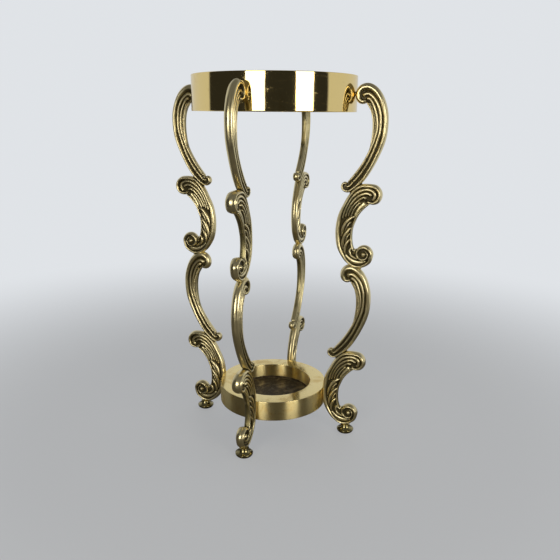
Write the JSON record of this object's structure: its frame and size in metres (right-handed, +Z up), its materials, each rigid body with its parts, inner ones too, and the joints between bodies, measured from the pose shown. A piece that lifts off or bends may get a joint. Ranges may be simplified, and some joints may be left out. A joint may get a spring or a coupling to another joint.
{
  "type": "umbrella stand",
  "caption": "Free-standing brass umbrella stand: a broad top ring and a small base ring with a drip tray, carried by scrolled cast legs on turned feet.",
  "frame": {"origin": "on the floor, on the common axis of the two rings", "axes": "+Z up along the axis of the rings; the four legs stand on +X, +Y, -X and -Y, the front leg on -Y"},
  "size_m": [0.2974, 0.2974, 0.4804],
  "materials": {
    "polished_ring": "mirror polished with fine scratches",
    "satin_ring": "satin with fine scratches and dark pits",
    "cast_brass": "cast, polished on the high places, dark olive in the grooves",
    "turned_brass": "turned and polished",
    "dark_tray": "dark brown tarnish, matt and mottled",
    "fastener_brass": "turned"
  },
  "bodies": {
    "frame": {"top_ring": "polished_ring", "base_ring": "satin_ring", "right_upper_casting": "cast_brass", "back_upper_casting": "cast_brass", "left_upper_casting": "cast_brass", "front_upper_casting": "cast_brass", "right_lower_casting": "cast_brass", "back_lower_casting": "cast_brass", "left_lower_casting": "cast_brass", "front_lower_casting": "cast_brass", "right_foot": "turned_brass", "back_foot": "turned_brass", "left_foot": "turned_brass", "front_foot": "turned_brass", "right_top_screw": "fastener_brass", "back_top_screw": "fastener_brass", "left_top_screw": "fastener_brass", "front_top_screw": "fastener_brass", "right_base_stud": "fastener_brass", "back_base_stud": "fastener_brass", "left_base_stud": "fastener_brass", "front_base_stud": "fastener_brass", "right_base_washer": "fastener_brass", "back_base_washer": "fastener_brass", "left_base_washer": "fastener_brass", "front_base_washer": "fastener_brass", "right_base_nut": "fastener_brass", "back_base_nut": "fastener_brass", "left_base_nut": "fastener_brass", "front_base_nut": "fastener_brass"},
    "tray": {"drip_tray": "dark_tray"}
  },
  "joints": [
    {"name": "tray_lift", "type": "slide", "parent": "frame", "child": "tray", "axis": [0, 0, 1], "range_m": [0, 0.45]}
  ]
}
